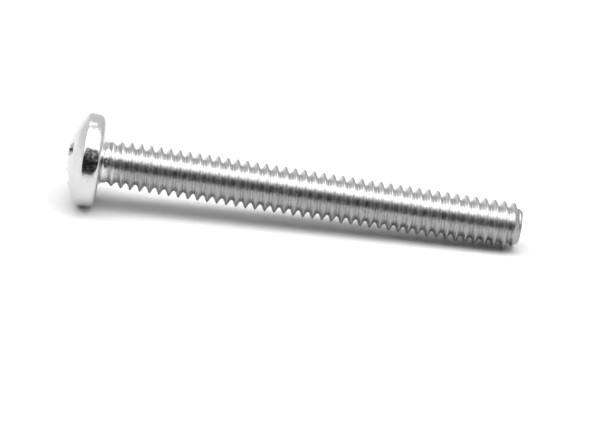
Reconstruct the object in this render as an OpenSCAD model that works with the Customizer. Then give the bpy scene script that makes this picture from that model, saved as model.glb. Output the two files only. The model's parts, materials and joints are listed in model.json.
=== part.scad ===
// Pan head machine screw with a cross recess, 1/4-20 UNC thread, 2-1/4 inch long.
// It is cold headed and thread rolled from one wire blank, so it is one solid.
// It lies as it comes to rest on z = 0, on the rim of its head and the end of its thread,
// with its head towards -X and its tip towards +X.
// Lengths are in millimetres and angles in degrees.
// The thread is held as the cylinder over its crests, which is what a clearance hole meets.

/* [Shank] */
// Length from the bearing face under the head to the end face of the tip
shank_len = 55.7; // [25:0.1:90]
// Major diameter, over the thread crests
thread_d = 6.2; // [5.1:0.05:7.6]
// Thread pitch, which is one twentieth of an inch
pitch = 1.27; // [0.8:0.01:1.6]
// Diameter of the flat end face of the tip
tip_d = 4.2; // [2.5:0.1:4.6]
// Length of the tapered tip
tip_len = 1.1; // [0.6:0.1:3]

/* [Head] */
// Diameter of the head
head_d = 12.3; // [10:0.1:16]
// Height of the head's side, from the bearing face to the edge of the crown
side_h = 2.35; // [1.6:0.05:3.5]
// Rise of the domed crown above that edge
crown_h = 2.2; // [1.8:0.1:3.4]
// Rounding between the side and the crown
edge_r = 0.45; // [0.1:0.05:0.6]
// Rounding between the side and the bearing face
rim_r = 1.1; // [0.2:0.1:1.3]
// Fillet between the bearing face and the neck
neck_fillet = 0.7; // [0.2:0.1:1]

/* [Recess] */
// Diameter across the four wings where they cut the crown
recess_d = 7; // [5.6:0.1:8.4]
// Diameter across the wings at the recess floor
floor_d = 3.8; // [3:0.1:4.4]
// Lean of the wings' outer ends from the screw's axis
wing_lean = 26.5; // [20:0.5:32]
// Thickness of a wing at the recess floor
wing_t = 0.82; // [0.6:0.02:1.1]
// Draft on each flank of a wing
wing_draft = 5.75; // [2:0.25:8]
// Width of the square core between the wings, across its flats at the recess floor
core_w = 2.1; // [1.8:0.1:2.6]
// Draft on the flats of the core
core_draft = 8; // [4:0.5:12]
// Included angle of the point below the floor
point_angle = 140; // [110:1:160]
// Turn of the wings about the axis, from a wing in the upright plane
recess_turn = 45; // [0:1:90]

/* [Hidden] */
$fn = 96;
// How far a cutting shape runs past the surface that it cuts
past = 1;

// Size of the blank that the thread is rolled on, which a 60 degree thread shares with its pitch line
neck_d = thread_d - 0.6495 * pitch;
// The neck ends where the first crest stands at its full height
neck_len = pitch;

head_r = head_d / 2;
head_h = side_h + crown_h;
crown_r = (head_r * head_r + crown_h * crown_h) / (2 * crown_h);
// Height of the centre of the crown's sphere, above the bearing face
crown_z = head_h - crown_r;
// Centre of the rounding between side and crown, which touches both of them
edge_c = [head_r - edge_r, crown_z + sqrt(pow(crown_r - edge_r, 2) - pow(head_r - edge_r, 2))];
// Angle from the screw's axis at which that rounding runs into the crown
edge_lean = atan2(edge_c.x, edge_c.y - crown_z);
// The rim's rounding stays below the edge's rounding
rim_fit = min(rim_r, edge_c.y);
// The neck's fillet stays inside the flat of the bearing face
fillet_fit = min(neck_fillet, neck_len, head_r - rim_fit - neck_d / 2 - 0.2);

// Height at which the ends of the wings cut the crown, and the height of the floor
mouth_z = crown_z + sqrt(crown_r * crown_r - recess_d * recess_d / 4);
floor_z = mouth_z - (recess_d - floor_d) / 2 / tan(wing_lean);
recess_top = head_h + past;
point_depth = floor_d / 2 / tan(point_angle / 2);

// Tilt of the axis at rest: the rim's rounding and the crest at the start of the tip touch one plane
rest_run = shank_len - tip_len + rim_fit;
rest_drop = head_r - rim_fit - thread_d / 2;
rest_tilt = asin(rim_fit / norm([rest_run, rest_drop])) + atan2(rest_drop, rest_run);
// Height of the centre of the bearing face above that plane
bearing_z = (head_r - rim_fit) * cos(rest_tilt) + rim_fit - rim_fit * sin(rest_tilt);
// Distance of the bearing face from the middle of the whole length, along X
tip_reach = shank_len * cos(rest_tilt) + tip_d / 2 * sin(rest_tilt);
crown_reach = crown_r + crown_z * cos(rest_tilt);
bearing_x = (crown_reach - tip_reach) / 2;

// Half sections lie in the plane of the axis: x is the radius and y the height above the bearing face.

// The side of the head under its domed crown, with both corners rounded
module head_section() {
    difference() {
        intersection() {
            square([head_r, head_h + past]);
            translate([0, crown_z]) circle(crown_r);
        }
        rim_corner();
        edge_corner();
    }
}

// The waste outside the rounding next to the bearing face
module rim_corner() {
    difference() {
        translate([head_r - rim_fit, -past]) square([rim_fit + past, rim_fit + past]);
        translate([head_r - rim_fit, rim_fit]) circle(rim_fit);
    }
}

// The waste outside the rounding at the edge of the crown
module edge_corner() {
    out = edge_r + past;
    difference() {
        polygon([
            edge_c,
            edge_c + [out, 0],
            edge_c + [out, out],
            edge_c + out * [sin(edge_lean), cos(edge_lean)]
        ]);
        translate(edge_c) circle(edge_r);
    }
}

// The neck, spread by a fillet under the head, and the threaded length with its tapered tip
module shank_section() {
    neck_r = neck_d / 2;
    fillet_r = neck_r + fillet_fit;
    difference() {
        polygon([
            [0, rim_fit / 2],
            [fillet_r, rim_fit / 2],
            [fillet_r, -fillet_fit],
            [neck_r, -fillet_fit],
            [neck_r, thread_d / 2 - neck_r - neck_len],
            [thread_d / 2, -neck_len],
            [thread_d / 2, tip_len - shank_len],
            [tip_d / 2, -shank_len],
            [0, -shank_len]
        ]);
        translate([fillet_r, -fillet_fit]) circle(fillet_fit);
    }
}

// One pair of opposite wings: an outline seen from the side, thinned by the draft of its flanks
module wing_pair() {
    rise = recess_top - floor_z;
    top_r = floor_d / 2 + rise * tan(wing_lean);
    top_t = wing_t / 2 + rise * tan(wing_draft);
    point_t = max(wing_t / 2 - point_depth * tan(wing_draft), wing_t / 4);
    intersection() {
        rotate([90, 0, 0]) linear_extrude(2 * top_t, center = true) polygon([
            [0, floor_z - point_depth],
            [floor_d / 2, floor_z],
            [top_r, recess_top],
            [-top_r, recess_top],
            [-floor_d / 2, floor_z]
        ]);
        rotate([90, 0, 90]) linear_extrude(2 * top_r, center = true) polygon([
            [point_t, floor_z - point_depth],
            [wing_t / 2, floor_z],
            [top_t, recess_top],
            [-top_t, recess_top],
            [-wing_t / 2, floor_z],
            [-point_t, floor_z - point_depth]
        ]);
    }
}

// A prism that leans out on two opposite sides, from the point of the core up past the crown
module core_prism() {
    rise = recess_top - floor_z;
    top = core_w / 2 + rise * tan(core_draft);
    rotate([90, 0, 0]) linear_extrude(2 * top, center = true) polygon([
        [0, floor_z - core_w / 2 / tan(point_angle / 2)],
        [core_w / 2, floor_z],
        [top, recess_top],
        [-top, recess_top],
        [-core_w / 2, floor_z]
    ]);
}

// The square core, which cuts the noses between the wings flat
module recess_core() {
    intersection() {
        core_prism();
        rotate([0, 0, 90]) core_prism();
    }
}

// The cross recess, as the solid that a driver fills
module recess() {
    rotate([0, 0, recess_turn]) {
        wing_pair();
        rotate([0, 0, 90]) wing_pair();
        rotate([0, 0, 45]) recess_core();
    }
}

// The whole screw, upright on its axis with its bearing face at z = 0 and its crown above
module upright_screw() {
    difference() {
        union() {
            rotate_extrude() head_section();
            rotate_extrude() shank_section();
        }
        recess();
    }
}

// The screw as it lies at rest
module screw() {
    color("silver")
        translate([bearing_x, 0, bearing_z])
        rotate([0, rest_tilt - 90, 0])
        upright_screw();
}

screw();
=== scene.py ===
"""A pan head machine screw with a cross recess, lying on a pale floor in soft light."""

import json
import logging
import math
from dataclasses import dataclass, field
from enum import Enum, IntEnum
from typing import Callable

import bmesh
import bpy
from mathutils import Matrix, Vector


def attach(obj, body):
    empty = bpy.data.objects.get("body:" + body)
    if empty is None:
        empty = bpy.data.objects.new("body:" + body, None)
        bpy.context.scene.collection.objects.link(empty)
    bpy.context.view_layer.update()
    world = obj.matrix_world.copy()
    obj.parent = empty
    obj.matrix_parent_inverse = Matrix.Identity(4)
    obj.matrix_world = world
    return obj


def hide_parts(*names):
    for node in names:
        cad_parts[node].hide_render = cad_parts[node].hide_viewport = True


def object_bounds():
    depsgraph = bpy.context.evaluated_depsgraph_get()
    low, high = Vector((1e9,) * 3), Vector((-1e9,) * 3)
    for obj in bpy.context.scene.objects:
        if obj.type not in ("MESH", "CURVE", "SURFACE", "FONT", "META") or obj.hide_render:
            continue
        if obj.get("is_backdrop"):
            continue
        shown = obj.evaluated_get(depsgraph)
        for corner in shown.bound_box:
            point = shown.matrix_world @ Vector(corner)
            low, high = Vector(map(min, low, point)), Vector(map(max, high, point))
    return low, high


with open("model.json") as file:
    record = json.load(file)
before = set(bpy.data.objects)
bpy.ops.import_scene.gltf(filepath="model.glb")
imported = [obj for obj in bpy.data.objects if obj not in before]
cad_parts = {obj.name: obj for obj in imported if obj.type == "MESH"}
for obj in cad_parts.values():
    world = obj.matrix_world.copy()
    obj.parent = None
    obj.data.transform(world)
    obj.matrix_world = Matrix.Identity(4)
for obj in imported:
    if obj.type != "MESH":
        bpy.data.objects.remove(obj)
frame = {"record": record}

MM = 0.001
# On a 60 degree thread, the drop from the crest's diameter to the pitch line's, as a share of the pitch
PITCH_LINE_DROP = 0.6495
LOG = logging.getLogger("machine_screw")


class Slot(Enum):
    """The record's material slots."""

    STEEL = "steel"


class Surface(IntEnum):
    """How each face of the screw was made, which is also the place of its material on the mesh."""

    HEADED = 0
    PUNCHED = 1
    ROLLED = 2
    SHEARED = 3


def mix(low: float, high: float, share: float) -> float:
    """Returns the value that lies share of the way from low to high."""
    return low + (high - low) * share


def arc(centre: tuple[float, float], radius: float, start: float, end: float, steps: int) -> list[Vector]:
    """Places points along an arc.

    Args:
        centre: Centre of the arc.
        radius: Its radius.
        start: Angle of the first point, in degrees.
        end: Angle of the last point, in degrees.
        steps: Number of chords.

    Returns:
        The steps + 1 points, in order.
    """
    angles = [math.radians(mix(start, end, k / steps)) for k in range(steps + 1)]
    return [Vector((centre[0] + radius * math.cos(a), centre[1] + radius * math.sin(a))) for a in angles]


@dataclass(frozen=True)
class Seat:
    """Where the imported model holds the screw: its axis and the centre of its bearing face, in millimetres."""

    bearing: Vector
    axis: Vector
    thread_end: float

    @classmethod
    def from_record(cls, record: dict) -> "Seat":
        """Reads the seat from the record's mounts.

        Args:
            record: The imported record.

        Returns:
            The seat that the thread and the bearing face give.
        """
        mounts = {m["name"]: m for m in record["mounts"]}
        thread, face = mounts["thread"], mounts["bearing_face"]
        axis = Vector(thread["axis"]).normalized()
        middle = Vector(thread["pos_m"]) / MM
        back = (Vector(face["pos_m"]) / MM - middle).dot(axis)
        half = thread["dims"]["length_mm"] / 2
        return cls(middle + axis * back, axis, half - back)

    def matrix(self) -> Matrix:
        """Builds the place of the screw in the row's frame.

        Returns:
            The matrix that takes millimetres along the screw's own axis, with +Z to its tip, to metres
            in the row's frame.
        """
        up = Vector((-self.axis.z, 0, self.axis.x))
        side = self.axis.cross(up)
        turn = Matrix((up, side, self.axis)).transposed().to_4x4()
        return Matrix.Scale(MM, 4) @ Matrix.Translation(self.bearing) @ turn


@dataclass
class Recess:
    """The cross recess: its outline at any height over the bearing face, and its point. In millimetres."""

    mouth_r: float = 3.5
    floor_r: float = 1.9
    wing_lean: float = math.radians(26.5)
    wing_half: float = 0.41
    wing_draft: float = math.radians(5.75)
    nose_r: float = 1.13
    corner_r: float = 0.14
    point_half_angle: float = math.radians(70)
    turn: float = math.radians(45)
    end_steps: int = 2
    corner_steps: int = 2
    flank_steps: int = 7
    nose_steps: int = 5
    meet_rounds: int = 12
    floor_h: float = 0.0

    def fit(self, crown: Callable[[float], float]) -> None:
        """Sets the floor's height, so that the wings cut the crown at the mouth's radius.

        Args:
            crown: Gives the crown's height at a radius.
        """
        self.floor_h = crown(self.mouth_r) - (self.mouth_r - self.floor_r) / math.tan(self.wing_lean)

    def half_outline(self, height: float, spread: float = 0.0) -> list[Vector]:
        """Places points from the middle of a wing's end to the middle of the nose beside it.

        Args:
            height: Height above the bearing face.
            spread: How far outside the wall the points lie.

        Returns:
            The points, in order, for a wing along the x axis.
        """
        rise = height - self.floor_h
        reach = self.floor_r + rise * math.tan(self.wing_lean) + spread
        half = self.wing_half + rise * math.tan(self.wing_draft) + spread
        corner = self.corner_r + spread
        nose = self.nose_r - spread
        centre = half + nose
        points = [Vector((reach, (half - corner) * k / self.end_steps)) for k in range(self.end_steps)]
        points += arc((reach - corner, half - corner), corner, 0, 90, self.corner_steps)
        along = [k / self.flank_steps for k in range(1, self.flank_steps)]
        points += [Vector((mix(reach - corner, centre, s), half)) for s in along]
        points += arc((centre, centre), nose, 270, 225, self.nose_steps)
        return points

    def outline(self, height: Callable[[int], float], spread: float = 0.0) -> list[Vector]:
        """Places points round the whole cross.

        Args:
            height: Gives the height above the bearing face for each point of the half outline.
            spread: How far outside the wall the points lie.

        Returns:
            The points, in order round the axis, with their heights as z.
        """
        count = len(self.half_outline(self.floor_h))
        half = []
        for k in range(count):
            flat = self.half_outline(height(k), spread)[k]
            half.append(Vector((flat.x, flat.y, height(k))))
        mirrored = [Vector((p.y, p.x, p.z)) for p in reversed(half[1:-1])]
        quarter = half + mirrored
        turns = [Matrix.Rotation(self.turn + math.radians(90 * q), 3, "Z") for q in range(4)]
        return [turn @ p for turn in turns for p in quarter]

    def meet(self, surface: Callable[[float], float], guess: float, spread: float = 0.0) -> list[float]:
        """Finds where the walls meet a surface of revolution.

        Args:
            surface: Gives the surface's height at a radius.
            guess: A height to start from.
            spread: How far outside the wall the points lie.

        Returns:
            The height at each point of the half outline.
        """
        heights = []
        for k in range(len(self.half_outline(guess))):
            height = guess
            for _ in range(self.meet_rounds):
                height = surface(self.half_outline(height, spread)[k].length)
            heights.append(height)
        return heights

    def floor(self, radius: float) -> float:
        """Gives the height of the shallow point under the recess.

        Args:
            radius: Distance from the axis.

        Returns:
            The height above the bearing face.
        """
        return self.floor_h - (self.floor_r - radius) / math.tan(self.point_half_angle)


@dataclass
class Head:
    """The cold-headed pan head, from the point of its recess round to the neck, in millimetres."""

    head_r: float = 6.15
    side_h: float = 2.35
    crown_h: float = 2.2
    edge_r: float = 0.45
    rim_r: float = 1.1
    fillet_r: float = 0.7
    lip: float = 0.2
    crown_ring_r: float = 4.7
    outer_rings: tuple[float, ...] = (5.0, 5.3, 5.55)
    bearing_rings: tuple[float, ...] = (4.6, 4.1, 3.7)
    side_shares: tuple[float, ...] = (0.33, 0.67)
    point_shares: tuple[float, ...] = (0.12, 0.4, 0.7)
    wall_steps: int = 7
    lip_steps: int = 4
    crown_steps: int = 9
    edge_steps: int = 6
    rim_steps: int = 10
    fillet_steps: int = 7
    recess: Recess = field(default_factory=Recess)

    def __post_init__(self) -> None:
        """Works out the crown's sphere and fits the recess to it."""
        self.crown_r = (self.head_r ** 2 + self.crown_h ** 2) / (2 * self.crown_h)
        self.crown_z = self.side_h + self.crown_h - self.crown_r
        self.recess.fit(self.crown)

    def crown(self, radius: float) -> float:
        """Returns the crown's height above the bearing face at a distance from the axis."""
        return self.crown_z + math.sqrt(self.crown_r ** 2 - radius ** 2)

    def recess_rings(self) -> list[list[Vector]]:
        """Lays out the rings from the recess's point up its walls and over its rounded lip.

        Returns:
            The rings, in order outwards, as points with their heights as z.
        """
        r = self.recess
        low = r.meet(r.floor, r.floor_h)
        high = r.meet(self.crown, self.crown(r.mouth_r))
        base = r.outline(lambda k: low[k])
        rings = []
        for share in self.point_shares:
            ring = [Vector((p.x * share, p.y * share, 0)) for p in base]
            rings.append([Vector((p.x, p.y, r.floor(p.length))) for p in ring])
        for step in range(self.wall_steps):
            share = step / self.wall_steps
            rings.append(r.outline(lambda k: mix(low[k], high[k] - self.lip, share)))
        below = r.outline(lambda k: high[k] - self.lip)
        edge = r.outline(lambda k: high[k])
        outer = r.meet(self.crown, self.crown(r.mouth_r), self.lip)
        beside = r.outline(lambda k: outer[k], self.lip)
        for step in range(self.lip_steps + 1):
            t = step / self.lip_steps
            a, b, c = (1 - t) ** 2, 2 * t * (1 - t), t * t
            rings.append([p * a + q * b + s * c for p, q, s in zip(below, edge, beside)])
        return rings

    def crown_rings(self, start: list[Vector]) -> list[list[Vector]]:
        """Lays out the rings that turn the recess's outline into a circle on the crown.

        Args:
            start: The last ring of the recess's lip.

        Returns:
            The rings, in order outwards, the last of them a circle.
        """
        rings = []
        for step in range(1, self.crown_steps + 1):
            share = step / self.crown_steps
            ring = []
            for p in start:
                flat = Vector((p.x, p.y, 0))
                flat = flat * (mix(flat.length, self.crown_ring_r, share) / flat.length)
                ring.append(Vector((flat.x, flat.y, self.crown(flat.length))))
            rings.append(ring)
        return rings

    def profile(self, neck_r: float, neck_start: float) -> list[Vector]:
        """Draws the half section from the crown over the side and the bearing face to the neck.

        Args:
            neck_r: Radius of the neck.
            neck_start: Distance from the bearing face at which the thread begins to rise.

        Returns:
            Points of radius and height, in order.
        """
        edge_x = self.head_r - self.edge_r
        edge_y = self.crown_z + math.sqrt((self.crown_r - self.edge_r) ** 2 - edge_x ** 2)
        lean = math.degrees(math.atan2(edge_y - self.crown_z, edge_x))
        points = [Vector((x, self.crown(x))) for x in self.outer_rings]
        points += arc((edge_x, edge_y), self.edge_r, lean, 0, self.edge_steps)
        points += [Vector((self.head_r, mix(edge_y, self.rim_r, s))) for s in self.side_shares]
        points += arc((self.head_r - self.rim_r, self.rim_r), self.rim_r, 0, -90, self.rim_steps)
        points += [Vector((x, 0)) for x in self.bearing_rings]
        points += arc((neck_r + self.fillet_r, -self.fillet_r), self.fillet_r, 90, 180, self.fillet_steps)
        points.append(Vector((neck_r, -neck_start)))
        return points


@dataclass
class Thread:
    """The rolled thread, from its run-out at the neck to the tapered tip, in millimetres."""

    pitch: float = 1.27
    crest_r: float = 3.1
    root_r: float = 2.33
    crest_round: float = 0.15
    root_round: float = 0.18
    start: float = 0.72
    run_out: float = 3.2
    run_out_curve: float = 0.42
    end_r: float = 2.1
    tip_len: float = 1.1
    phase: float = math.radians(-162)
    steps: int = 128
    crest_steps: int = 4
    root_steps: int = 2

    @property
    def neck_r(self) -> float:
        """Radius of the blank, which is the radius at the pitch line."""
        return self.crest_r - PITCH_LINE_DROP * self.pitch / 2

    def section(self) -> list[Vector]:
        """Draws one pitch of the thread, from root to root.

        Returns:
            Points of radius and distance along the axis, in order.
        """
        half = self.pitch / 2
        crest = arc((self.crest_r - self.crest_round, half), self.crest_round, -60, 60, self.crest_steps)
        root = arc((self.root_r + self.root_round, 0), self.root_round, 180, 120, self.root_steps)
        closing = [Vector((p.x, self.pitch - p.y)) for p in reversed(root)]
        return root + crest + closing

    def fade(self, along: float) -> float:
        """Returns the share of the thread's depth that is rolled at a distance from the bearing face."""
        return min(1.0, max(0.0, (along - self.start) / self.run_out)) ** self.run_out_curve

    def taper(self, along: float, length: float) -> float:
        """Returns the radius of the tip's cone at a distance from the bearing face."""
        return self.end_r + (length - along) * (self.crest_r - self.end_r) / self.tip_len


@dataclass
class MachineScrew:
    """The whole screw as one closed mesh, built along its own axis with its bearing face at zero."""

    seat: Seat
    head: Head = field(default_factory=Head)
    thread: Thread = field(default_factory=Thread)
    end_round: float = 0.14
    end_dish: float = 0.12
    dish_curve: float = 0.7
    dish_shares: tuple[float, ...] = (0.8, 0.5, 0.2)
    end_steps: int = 4
    # Gaps that are closed where the thread's turns meet and where its ends are cut
    merge_gap: float = 0.002
    cut_gap: float = 0.0001
    sharp_angle: float = math.radians(38)

    @property
    def length(self) -> float:
        """Length from the bearing face to the end of the tip."""
        return self.seat.thread_end + self.thread.tip_len

    @staticmethod
    def extend(mesh: bmesh.types.BMesh, ring: list, places: list[Vector]) -> list:
        """Grows a ring of vertices by one more ring.

        Args:
            mesh: The mesh to grow.
            ring: The ring's vertices, in order.
            places: Where the new ring's vertices go, in the same order.

        Returns:
            The new ring's vertices, in order.
        """
        pairs = zip(ring, ring[1:] + ring[:1])
        edges = [next(e for e in v.link_edges if e.other_vert(v) is w) for v, w in pairs]
        grown = bmesh.ops.extrude_edge_only(mesh, edges=edges)["geom"]
        new = {v for v in grown if isinstance(v, bmesh.types.BMVert)}
        out = []
        for v, place in zip(ring, places):
            twin = next(e.other_vert(v) for e in v.link_edges if e.other_vert(v) in new)
            twin.co = place
            out.append(twin)
        return out

    def build_head(self, mesh: bmesh.types.BMesh) -> list:
        """Builds the head from the recess's point out to the neck.

        Args:
            mesh: The mesh to build in.

        Returns:
            The vertices of the neck's ring, in order.
        """
        down = Matrix.Diagonal((1, 1, -1))
        rings = self.head.recess_rings()
        rings += self.head.crown_rings(rings[-1])
        disc = bmesh.ops.create_circle(mesh, cap_ends=True, cap_tris=True, segments=len(rings[0]), radius=1)
        middle = next(v for v in disc["verts"] if v.co.length < 0.5)
        middle.co = Vector((0, 0, -self.head.recess.floor(0)))
        first = math.atan2(rings[0][0].y, rings[0][0].x)
        around = [v for v in disc["verts"] if v is not middle]
        # Keeps the first vertex first where rounding puts it just below its own angle
        slack = 0.01
        around.sort(key=lambda v: (math.atan2(v.co.y, v.co.x) - first + slack) % math.tau)
        for v, place in zip(around, rings[0]):
            v.co = down @ place
        ring = around
        for places in rings[1:]:
            ring = self.extend(mesh, ring, [down @ p for p in places])
        spokes = [Vector((v.co.x, v.co.y, 0)).normalized() for v in ring]
        for point in self.head.profile(self.thread.neck_r, self.thread.start):
            ring = self.extend(mesh, ring, [s * point.x + Vector((0, 0, -point.y)) for s in spokes])
        return ring

    def build_thread(self, mesh: bmesh.types.BMesh) -> list:
        """Sweeps one pitch of the thread along its helix, then trims, fades and tapers it.

        Args:
            mesh: The mesh to build in.

        Returns:
            The edges of the thread's first ring, at the neck.
        """
        t = self.thread
        section = [Vector((p.x, 0, p.y - 2 * t.pitch)) for p in t.section()]
        verts = [mesh.verts.new(p) for p in section]
        edges = [mesh.edges.new(pair) for pair in zip(verts, verts[1:])]
        turn = Matrix.Rotation(t.phase, 3, "Z")
        bmesh.ops.rotate(mesh, verts=verts, cent=(0, 0, 0), matrix=turn)
        bmesh.ops.spin(mesh, geom=verts + edges, cent=(0, 0, 0), axis=(0, 0, 1), angle=math.tau,
                       dvec=(0, 0, t.pitch / t.steps), steps=t.steps, use_merge=False)
        turns = 1
        while (turns - 3) * t.pitch < self.length:
            whole = mesh.verts[:] + mesh.edges[:] + mesh.faces[:]
            copied = bmesh.ops.duplicate(mesh, geom=whole)["geom"]
            moved = [v for v in copied if isinstance(v, bmesh.types.BMVert)]
            bmesh.ops.translate(mesh, verts=moved, vec=(0, 0, turns * t.pitch))
            turns *= 2
        bmesh.ops.remove_doubles(mesh, verts=mesh.verts[:], dist=self.merge_gap)
        last = self.length - self.end_round
        for place, outward in ((t.start, -1), (last, 1)):
            whole = mesh.verts[:] + mesh.edges[:] + mesh.faces[:]
            bmesh.ops.bisect_plane(mesh, geom=whole, dist=self.cut_gap, plane_co=(0, 0, place),
                                   plane_no=(0, 0, outward), clear_outer=True)
        for v in mesh.verts:
            radius = math.hypot(v.co.x, v.co.y)
            rolled = mix(t.neck_r, radius, t.fade(v.co.z))
            wanted = min(rolled, t.taper(v.co.z, self.length))
            v.co.x, v.co.y = v.co.x * wanted / radius, v.co.y * wanted / radius
        return [e for e in mesh.edges if e.is_boundary and e.verts[0].co.z < t.start + t.pitch]

    def close_tip(self, mesh: bmesh.types.BMesh) -> None:
        """Rounds the end of the taper over and closes it with a slightly dished face.

        Args:
            mesh: The mesh that holds the thread.
        """
        edges = [e for e in mesh.edges if e.is_boundary and e.verts[0].co.z > self.length / 2]
        start = self.thread.taper(self.length - self.end_round, self.length)
        corner = arc((start - self.end_round, -self.end_round), self.end_round, 0, 90, self.end_steps)
        face = [Vector((share * corner[-1].x, -self.end_dish * (1 - share) ** self.dish_curve))
                for share in self.dish_shares]
        for point in corner[1:] + face:
            grown = bmesh.ops.extrude_edge_only(mesh, edges=edges)["geom"]
            edges = [e for e in grown if isinstance(e, bmesh.types.BMEdge) and e.is_boundary]
            for v in {v for e in edges for v in e.verts}:
                flat = Vector((v.co.x, v.co.y, 0)).normalized() * point.x
                v.co = flat + Vector((0, 0, self.length + point.y))
        ends = list({v for e in edges for v in e.verts})
        grown = bmesh.ops.extrude_edge_only(mesh, edges=edges)["geom"]
        inner = [v for v in grown if isinstance(v, bmesh.types.BMVert) and v not in ends]
        bmesh.ops.pointmerge(mesh, verts=inner, merge_co=(0, 0, self.length - self.end_dish))

    def build(self) -> bpy.types.Object:
        """Builds the screw and puts it in its place.

        Returns:
            The finished piece.
        """
        mesh = bmesh.new()
        rolled = self.build_thread(mesh)
        self.close_tip(mesh)
        neck = self.build_head(mesh)
        neck_edges = [e for e in mesh.edges if e.is_boundary and e.verts[0] in set(neck)]
        bmesh.ops.bridge_loops(mesh, edges=rolled + neck_edges)
        bmesh.ops.recalc_face_normals(mesh, faces=mesh.faces[:])
        open_edges = sum(1 for e in mesh.edges if len(e.link_faces) != 2)
        LOG.info("open edges %d, volume %.1f mm3", open_edges, mesh.calc_volume())
        self.assign_finishes(mesh)
        mesh.transform(self.seat.matrix())
        data = bpy.data.meshes.new("machine_screw")
        mesh.to_mesh(data)
        mesh.free()
        data.set_sharp_from_angle(angle=self.sharp_angle)
        piece = bpy.data.objects.new("machine_screw", data)
        bpy.context.scene.collection.objects.link(piece)
        return piece

    def assign_finishes(self, mesh: bmesh.types.BMesh) -> None:
        """Gives each face its finish: headed, punched, rolled or sheared.

        Args:
            mesh: The screw's mesh, along its own axis.
        """
        r = self.head.recess
        # Just past the point under the recess
        point_z = -r.floor(0) + 0.01
        for face in mesh.faces:
            face.smooth = True
            place = face.calc_center_median()
            radius = math.hypot(place.x, place.y)
            if place.z > self.thread.start:
                sheared = place.z > self.length - self.thread.tip_len
                face.material_index = Surface.SHEARED if sheared else Surface.ROLLED
            else:
                inside = radius < r.mouth_r and -place.z < self.head.crown(radius) - self.head.lip / 3
                face.material_index = Surface.PUNCHED if inside and place.z < point_z else Surface.HEADED


class Nodes:
    """Adds nodes to one tree and links them in short calls."""

    def __init__(self, tree: bpy.types.NodeTree) -> None:
        """Keeps the tree that the nodes go in."""
        self.tree = tree

    def add(self, kind: str, settings: dict | None = None, **inputs: object) -> bpy.types.Node:
        """Adds a node.

        Args:
            kind: The node's type, without its ShaderNode prefix.
            settings: Properties to set on the node.
            **inputs: Values or sockets for the inputs, by name with underscores for spaces.

        Returns:
            The new node.
        """
        node = self.tree.nodes.new("ShaderNode" + kind)
        for key, value in (settings or {}).items():
            setattr(node, key, value)
        for key, value in inputs.items():
            place = int(key[1:]) if key[0] == "i" and key[1:].isdigit() else key.replace("_", " ")
            socket = node.inputs[place]
            if isinstance(value, bpy.types.NodeSocket):
                self.tree.links.new(value, socket)
            else:
                socket.default_value = value
        return node

    def math(self, operation: str, *values: object) -> bpy.types.NodeSocket:
        """Adds a Math node.

        Args:
            operation: The operation's name.
            *values: Its operands, as numbers or sockets.

        Returns:
            The result's socket.
        """
        inputs = {f"i{k}": value for k, value in enumerate(values)}
        return self.add("Math", {"operation": operation}, **inputs).outputs[0]

    def remap(self, value: bpy.types.NodeSocket, low: float, high: float,
              to_low: float = 0.0, to_high: float = 1.0) -> bpy.types.NodeSocket:
        """Adds a clamped Map Range node.

        Args:
            value: The value to map.
            low: Start of its span.
            high: End of its span.
            to_low: What the start becomes.
            to_high: What the end becomes.

        Returns:
            The result's socket.
        """
        return self.add("MapRange", {"interpolation_type": "SMOOTHSTEP"}, Value=value, From_Min=low,
                        From_Max=high, To_Min=to_low, To_Max=to_high).outputs["Result"]


def new_group(name: str, inputs: dict[str, str], outputs: list[str]) -> tuple[
        bpy.types.NodeTree, Nodes, bpy.types.Node, bpy.types.Node]:
    """Starts a shader node group.

    Args:
        name: Its name.
        inputs: Input names with their socket kinds, Vector or Float.
        outputs: Names of its outputs, all floats.

    Returns:
        The tree, a helper that adds nodes to it, and its input and output nodes.
    """
    tree = bpy.data.node_groups.new(name, "ShaderNodeTree")
    for key, kind in inputs.items():
        tree.interface.new_socket(key, in_out="INPUT", socket_type="NodeSocket" + kind)
    for key in outputs:
        tree.interface.new_socket(key, in_out="OUTPUT", socket_type="NodeSocketFloat")
    return tree, Nodes(tree), tree.nodes.new("NodeGroupInput"), tree.nodes.new("NodeGroupOutput")


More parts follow.
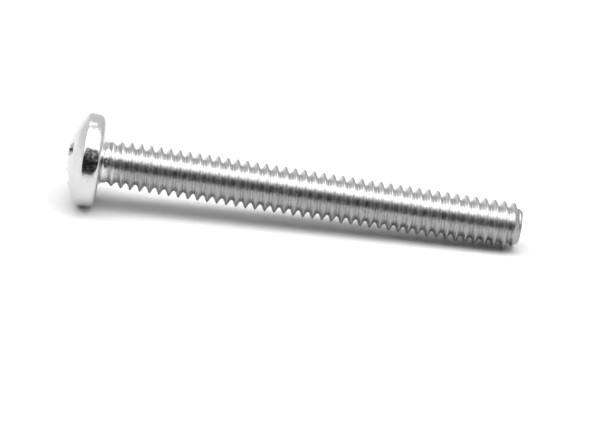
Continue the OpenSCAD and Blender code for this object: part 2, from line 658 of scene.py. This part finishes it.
class Groups:
    """The node groups that the finishes share, each built once."""

    SCRATCH_TURNS = ((0.3, 0.5, 0.2), (1.4, 0.2, 1.1), (0.7, 1.3, 2.0), (2.2, 0.9, 0.4))
    SCRATCH_STRETCH = (1, 0.035, 0.5)
    SCRATCH_WIDTH = 0.012
    SCRATCH_SHIFT = 7.3
    PATCH_SCALE = 0.35
    PATCH_STEP = 0.13
    CLOUD_SPAN = (0.3, 0.7)

    def __init__(self) -> None:
        """Builds the groups."""
        self.scratches = self.build_scratches()
        self.streaks = self.build_streaks()
        self.clouds = self.build_clouds()

    @staticmethod
    def build_scratches() -> bpy.types.NodeTree:
        """Builds fine handling scratches that cross at several angles.

        Returns:
            A group from Vector, Scale and Share to Mask.
        """
        tree, n, start, end = new_group(
            "handling_scratches", {"Vector": "Vector", "Scale": "Float", "Share": "Float"}, ["Mask"])
        found = None
        for k, turn in enumerate(Groups.SCRATCH_TURNS):
            turned = n.add("Mapping", Vector=start.outputs["Vector"], Rotation=turn,
                           Location=(k * Groups.SCRATCH_SHIFT, k, -k), Scale=Groups.SCRATCH_STRETCH)
            noise = n.add("TexNoise", Vector=turned.outputs[0], Scale=start.outputs["Scale"], Detail=1.0)
            line = n.math("ABSOLUTE", n.math("SUBTRACT", noise.outputs["Fac"], 0.5))
            thin = n.math("SUBTRACT", 1.0, n.remap(line, 0.0, Groups.SCRATCH_WIDTH))
            patch = n.add("TexNoise", Vector=start.outputs["Vector"],
                          Scale=Groups.PATCH_SCALE + Groups.PATCH_STEP * k, Detail=2.0)
            here = n.math("GREATER_THAN", n.math("ADD", patch.outputs["Fac"], start.outputs["Share"]), 1.0)
            mark = n.math("MULTIPLY", thin, here)
            found = mark if found is None else n.math("MAXIMUM", found, mark)
        tree.links.new(found, end.inputs["Mask"])
        return tree

    @staticmethod
    def build_streaks() -> bpy.types.NodeTree:
        """Builds streaks that run round the axis, as rolling and drawing leave them.

        Returns:
            A group from Vector, Along and Around to Height.
        """
        tree, n, start, end = new_group(
            "rolling_streaks", {"Vector": "Vector", "Along": "Float", "Around": "Float"}, ["Height"])
        sides = n.add("CombineXYZ", X=start.outputs["Around"], Y=start.outputs["Around"],
                      Z=start.outputs["Along"])
        drawn = n.add("VectorMath", {"operation": "MULTIPLY"}, i0=start.outputs["Vector"],
                      i1=sides.outputs[0])
        noise = n.add("TexNoise", Vector=drawn.outputs[0], Scale=1.0, Detail=4.0, Roughness=0.6)
        tree.links.new(noise.outputs["Fac"], end.inputs["Height"])
        return tree

    @staticmethod
    def build_clouds() -> bpy.types.NodeTree:
        """Builds soft patches, such as a plated surface's uneven brightness.

        Returns:
            A group from Vector and Scale to Mask.
        """
        tree, n, start, end = new_group("plating_clouds", {"Vector": "Vector", "Scale": "Float"}, ["Mask"])
        noise = n.add("TexNoise", Vector=start.outputs["Vector"], Scale=start.outputs["Scale"], Detail=5.0,
                      Roughness=0.55, Distortion=0.6)
        tree.links.new(n.remap(noise.outputs["Fac"], *Groups.CLOUD_SPAN), end.inputs["Mask"])
        return tree


@dataclass(frozen=True)
class SteelFinish:
    """One finish of the bright steel: its colour, gloss and marks. Lengths are in millimetres."""

    name: str
    # Colour of the cleanest and the dullest steel
    bright: tuple[float, float, float]
    dull: tuple[float, float, float]
    # Roughness, and how far it strays from place to place
    roughness: float
    spread: float
    # Height of the slow waves, and how many there are in a millimetre
    wave: float
    wave_scale: float
    # Height of the streaks, and how many there are in a millimetre each way
    streak: float
    streak_along: float
    streak_around: float
    # Depth of the handling scratches, and how much of the surface they reach
    scratch: float
    scratch_share: float
    # How bright the thread's roots and crests are coloured beside its flanks; the darker roots are painted
    # shade, standing in for the shade in the grooves
    root_painted_shade: float = 1.0
    crest_shade: float = 1.0
    # Distances from the axis over which that shade comes and goes
    root_zone: tuple[float, float] = (2.35, 2.7)
    crest_zone: tuple[float, float] = (2.96, 3.05)
    # Dull patches and scratches in a millimetre
    cloud_scale: float = 0.45
    scratch_scale: float = 2.6
    # What a scratch adds to the roughness, and the streaks' part in the colour beside the patches
    scratch_dull: float = 0.12
    grain_share: float = 0.6

    def material(self, seat: Seat, groups: Groups) -> bpy.types.Material:
        """Builds the finish as a material.

        Args:
            seat: Where the screw lies, which centres the patterns on its axis.
            groups: The shared node groups.

        Returns:
            The material.
        """
        made = bpy.data.materials.new(self.name)
        made.use_nodes = True
        tree = made.node_tree
        tree.nodes.clear()
        n = Nodes(tree)
        place = seat.matrix()
        local = n.add("Mapping", {"vector_type": "TEXTURE"}, Vector=n.add("TexCoord").outputs["Object"],
                      Location=place.translation, Rotation=place.to_euler(), Scale=(MM, MM, MM)).outputs[0]
        cloud = n.add("Group", {"node_tree": groups.clouds}, Vector=local,
                      Scale=self.cloud_scale).outputs["Mask"]
        grain = n.add("Group", {"node_tree": groups.streaks}, Vector=local, Along=self.streak_along,
                      Around=self.streak_around).outputs["Height"]
        marks = n.add("Group", {"node_tree": groups.scratches}, Vector=local, Scale=self.scratch_scale,
                      Share=self.scratch_share).outputs["Mask"]
        wave = n.add("TexNoise", Vector=local, Scale=self.wave_scale, Detail=2.0).outputs["Fac"]

        shade = n.math("MULTIPLY", cloud, 1 - self.grain_share)
        shade = n.math("MULTIPLY_ADD", grain, self.grain_share, shade)
        colour = n.add("Mix", {"data_type": "RGBA"}, i0=shade, i6=(*self.dull, 1), i7=(*self.bright, 1))
        flat = n.add("VectorMath", {"operation": "MULTIPLY"}, i0=local, i1=(1, 1, 0)).outputs[0]
        radius = n.add("VectorMath", {"operation": "LENGTH"}, i0=flat).outputs["Value"]
        # Painted shade: darkens the colour in the thread's roots and at its crests, by distance from the axis
        groove_shade_and_crest_dim = n.math("MULTIPLY", n.remap(radius, *self.root_zone, self.root_painted_shade, 1.0),
                       n.remap(radius, *self.crest_zone, 1.0, self.crest_shade))
        colour = n.add("VectorMath", {"operation": "SCALE"}, i0=colour.outputs[2], Scale=groove_shade_and_crest_dim)
        rough = n.math("MULTIPLY_ADD", cloud, -self.spread, self.roughness + self.spread / 2)
        rough = n.math("MULTIPLY_ADD", grain, self.spread, rough)
        rough = n.math("MULTIPLY_ADD", marks, self.scratch_dull, rough)
        height = n.math("MULTIPLY", wave, self.wave)
        height = n.math("MULTIPLY_ADD", grain, self.streak, height)
        height = n.math("MULTIPLY_ADD", marks, -self.scratch, height)
        bump = n.add("Bump", Strength=1.0, Distance=MM, Height=height)
        shader = n.add("BsdfPrincipled", Base_Color=colour.outputs[0], Metallic=1.0, Roughness=rough,
                       Normal=bump.outputs[0])
        n.add("OutputMaterial", Surface=shader.outputs[0])
        return made


HEADED = SteelFinish(
    "headed_steel", bright=(0.72, 0.72, 0.72), dull=(0.58, 0.58, 0.585), roughness=0.11, spread=0.08,
    wave=0.02, wave_scale=0.6, streak=0.007, streak_along=0.8, streak_around=4.0,
    scratch=0.005, scratch_share=0.45)
# The punched recess is rougher, and its darker colour is also painted shade for the shade inside the recess
PUNCHED = SteelFinish(
    "punched_steel_with_painted_shade", bright=(0.58, 0.58, 0.58), dull=(0.36, 0.36, 0.365), roughness=0.28, spread=0.1,
    wave=0.01, wave_scale=1.2, streak=0.006, streak_along=6.0, streak_around=2.0,
    scratch=0.003, scratch_share=0.42)
# The rolled thread's darker roots are painted shade, and its crests are coloured darker too
ROLLED = SteelFinish(
    "rolled_steel_with_painted_groove_shade", bright=(0.66, 0.66, 0.66), dull=(0.55, 0.55, 0.555), roughness=0.27, spread=0.06,
    wave=0.006, wave_scale=1.5, streak=0.004, streak_along=14.0, streak_around=0.7,
    scratch=0.002, scratch_share=0.38, root_painted_shade=0.75, crest_shade=0.6)
SHEARED = SteelFinish(
    "sheared_steel", bright=(0.44, 0.44, 0.44), dull=(0.3, 0.3, 0.305), roughness=0.34, spread=0.1,
    wave=0.05, wave_scale=1.4, streak=0.006, streak_along=3.0, streak_around=3.0,
    scratch=0.003, scratch_share=0.4)
FINISHES = {
    Surface.HEADED: HEADED,
    Surface.PUNCHED: PUNCHED,
    Surface.ROLLED: ROLLED,
    Surface.SHEARED: SHEARED,
}


@dataclass
class Studio:
    """The plain floor, the soft light and the camera. Lengths are in metres, except the lens's."""

    azimuth: float = math.radians(-3.51)
    elevation: float = math.radians(23.76)
    roll: float = math.radians(7.42)
    distance: float = 421.1 * MM
    aim_right: float = 0.51 * MM
    aim_up: float = -4.17 * MM
    lens: float = 193.1
    clip: tuple[float, float] = (0.01, 20.0)
    floor_size: float = 6.0
    # The floor's front edge, and where it has thickened to its full white
    floor_front: float = -50 * MM
    floor_fade: float = -13 * MM
    floor_shade: float = 0.78
    floor_roughness: float = 0.7
    floor_gloss: float = 0.1
    # Brightness of the tent's sides, back and box. Rises are angles from level in front, over the top
    side_level: float = 0.88
    back_level: float = 0.8
    back_rise: tuple[float, float] = (math.radians(108), math.radians(128))
    # The bright box above, whose foot ends it in front, and the round spot behind it
    box_level: float = 5.0
    box_rise: float = math.radians(38)
    box_spread: tuple[float, float] = (math.radians(67), math.radians(64))
    box_foot: tuple[float, float] = (math.radians(49), math.radians(57))
    spot_rise: float = math.radians(122)
    spot_spread: tuple[float, float] = (math.radians(7), math.radians(5.5))
    spot_aside: float = -0.06
    # How much darker the tent is towards the tip, and brighter towards the head
    tip_side_dim: float = 0.15
    # The dark opening in front: where it begins, where it ends, how far it reaches sideways, how dark it is
    opening_low: tuple[float, float] = (math.radians(-75), math.radians(-65))
    opening_high: tuple[float, float] = (math.radians(84), math.radians(32))
    opening_side: tuple[float, float] = (1.0, 0.97)
    opening_dim: float = 0.98
    # The tent's white as the camera sees it, and how much weaker its light is on the floor
    camera_white: float = 1.1
    diffuse_dim: float = 0.28
    lamp_place: tuple[float, float, float] = (0.18, -0.1, 0.6)
    lamp_size: float = 0.05
    lamp_power: float = 0.3

    def build_floor(self) -> bpy.types.Object:
        """Lays the pale floor.

        Returns:
            The floor.
        """
        mesh = bmesh.new()
        grid = bmesh.ops.create_grid(mesh, x_segments=1, y_segments=1, size=self.floor_size / 2)
        bmesh.ops.translate(mesh, verts=grid["verts"], vec=(0, self.floor_size / 2 + self.floor_front, 0))
        data = bpy.data.meshes.new("floor")
        mesh.to_mesh(data)
        mesh.free()
        floor = bpy.data.objects.new("floor", data)
        bpy.context.scene.collection.objects.link(floor)
        made = bpy.data.materials.new("floor_white")
        made.use_nodes = True
        shader = made.node_tree.nodes["Principled BSDF"]
        shader.inputs["Base Color"].default_value = (*[self.floor_shade] * 3, 1)
        shader.inputs["Roughness"].default_value = self.floor_roughness
        shader.inputs["Specular IOR Level"].default_value = self.floor_gloss
        n = Nodes(made.node_tree)
        place = n.add("SeparateXYZ", Vector=n.add("TexCoord").outputs["Object"])
        fade = n.remap(place.outputs["Y"], self.floor_front, self.floor_fade)
        made.node_tree.links.new(fade, shader.inputs["Alpha"])
        data.materials.append(made)
        floor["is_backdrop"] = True
        return floor

    @staticmethod
    def disc(n: Nodes, ray: bpy.types.NodeSocket, aside: float, rise: float,
             spread: tuple[float, float]) -> bpy.types.NodeSocket:
        """Marks a soft-edged disc on the tent.

        Args:
            n: The world's nodes.
            ray: The direction that is looked in.
            aside: How far to the side the disc's middle lies.
            rise: Its angle from level in front, over the top.
            spread: Angles from its middle at which it begins and at which it is full.

        Returns:
            1 in the disc and 0 outside it.
        """
        toward = Vector((aside, -math.cos(rise), math.sin(rise))).normalized()
        apart = n.add("VectorMath", {"operation": "DOT_PRODUCT"}, i0=ray, i1=toward).outputs["Value"]
        return n.remap(apart, *(math.cos(a) for a in spread))

    def build_world(self) -> None:
        """Makes the light tent: bright above, pale at the sides, grey behind, and dark at its open front."""
        world = bpy.data.worlds.new("light_tent")
        bpy.context.scene.world = world
        world.use_nodes = True
        world.node_tree.nodes.clear()
        n = Nodes(world.node_tree)
        ray = n.add("TexCoord").outputs["Generated"]
        parts = n.add("SeparateXYZ", Vector=ray)
        rise = n.math("ARCTAN2", parts.outputs["Z"], n.math("MULTIPLY", parts.outputs["Y"], -1.0))
        aside = n.math("ABSOLUTE", parts.outputs["X"])

        back = n.remap(rise, *self.back_rise)
        box = self.disc(n, ray, 0.0, self.box_rise, self.box_spread)
        box = n.math("MULTIPLY", box, n.remap(rise, *self.box_foot))
        spot = self.disc(n, ray, self.spot_aside, self.spot_rise, self.spot_spread)
        opening = n.math("MULTIPLY", n.remap(rise, *self.opening_low), n.remap(rise, *self.opening_high))
        opening = n.math("MULTIPLY", opening, n.remap(aside, *self.opening_side))

        level = n.math("MULTIPLY_ADD", back, self.back_level - self.side_level, self.side_level)
        level = n.math("MULTIPLY_ADD", box, self.box_level - self.side_level, level)
        level = n.math("MULTIPLY_ADD", spot, self.box_level - self.side_level, level)
        tip_side = n.math("MULTIPLY_ADD", parts.outputs["X"], -self.tip_side_dim, 1.0)
        level = n.math("MULTIPLY", level, tip_side)
        level = n.math("MULTIPLY", level, n.math("MULTIPLY_ADD", opening, -self.opening_dim, 1.0))
        path = n.add("LightPath").outputs
        level = n.math("MAXIMUM", level, n.math("MULTIPLY", path["Is Camera Ray"], self.camera_white))
        soft = n.math("MULTIPLY_ADD", path["Is Diffuse Ray"], -self.diffuse_dim, 1.0)
        level = n.math("MULTIPLY", level, soft)
        shader = n.add("Background", Color=(1, 1, 1, 1), Strength=level)
        n.add("OutputWorld", Surface=shader.outputs[0])

    def build_lamp(self) -> None:
        """Hangs a small lamp high above the floor, beyond the tip."""
        data = bpy.data.lights.new("lamp", "AREA")
        data.shape = "DISK"
        data.size = self.lamp_size
        data.energy = self.lamp_power
        lamp = bpy.data.objects.new("lamp", data)
        bpy.context.scene.collection.objects.link(lamp)
        lamp.location = self.lamp_place
        lamp.rotation_mode = "QUATERNION"
        lamp.rotation_quaternion = Vector(self.lamp_place).to_track_quat("Z", "Y")

    def build_camera(self, low: Vector, high: Vector) -> bpy.types.Object:
        """Sets up the camera, which looks down on the screw from its side.

        Args:
            low: Lowest corner of the screw's box.
            high: Its highest corner.

        Returns:
            The camera.
        """
        back = Vector((math.sin(self.azimuth) * math.cos(self.elevation),
                       -math.cos(self.azimuth) * math.cos(self.elevation), math.sin(self.elevation)))
        level = (-back).to_track_quat("-Z", "Y").to_matrix()
        turn = level @ Matrix.Rotation(self.roll, 3, "Z")
        aim = (low + high) / 2 + turn @ Vector((self.aim_right, self.aim_up, 0))
        data = bpy.data.cameras.new("camera")
        data.lens = self.lens
        data.clip_start, data.clip_end = self.clip
        camera = bpy.data.objects.new("camera", data)
        bpy.context.scene.collection.objects.link(camera)
        camera.matrix_world = Matrix.Translation(aim + back * self.distance) @ turn.to_4x4()
        bpy.context.scene.camera = camera
        return camera

    def set_tone(self) -> None:
        """Shows the light as it falls, with no film curve."""
        settings = bpy.context.scene.view_settings
        settings.view_transform = "Standard"
        settings.look = "None"


def main() -> None:
    """Builds the screw, dresses it, and sets up the studio."""
    logging.basicConfig(level=logging.INFO, format="%(name)s: %(message)s")
    cad_low, cad_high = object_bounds()
    seat = Seat.from_record(frame["record"])
    groups = Groups()

    piece = MachineScrew(seat).build()
    for surface in Surface:
        piece.data.materials.append(FINISHES[surface].material(seat, groups))
    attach(piece, "root")
    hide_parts("screw")
    LOG.info("%s: %d faces", piece.name, len(piece.data.polygons))

    studio = Studio()
    studio.build_floor()
    studio.build_world()
    studio.build_lamp()
    studio.build_camera(cad_low, cad_high)
    studio.set_tone()
    LOG.info("studio ready")


if __name__ == "__main__":
    main()
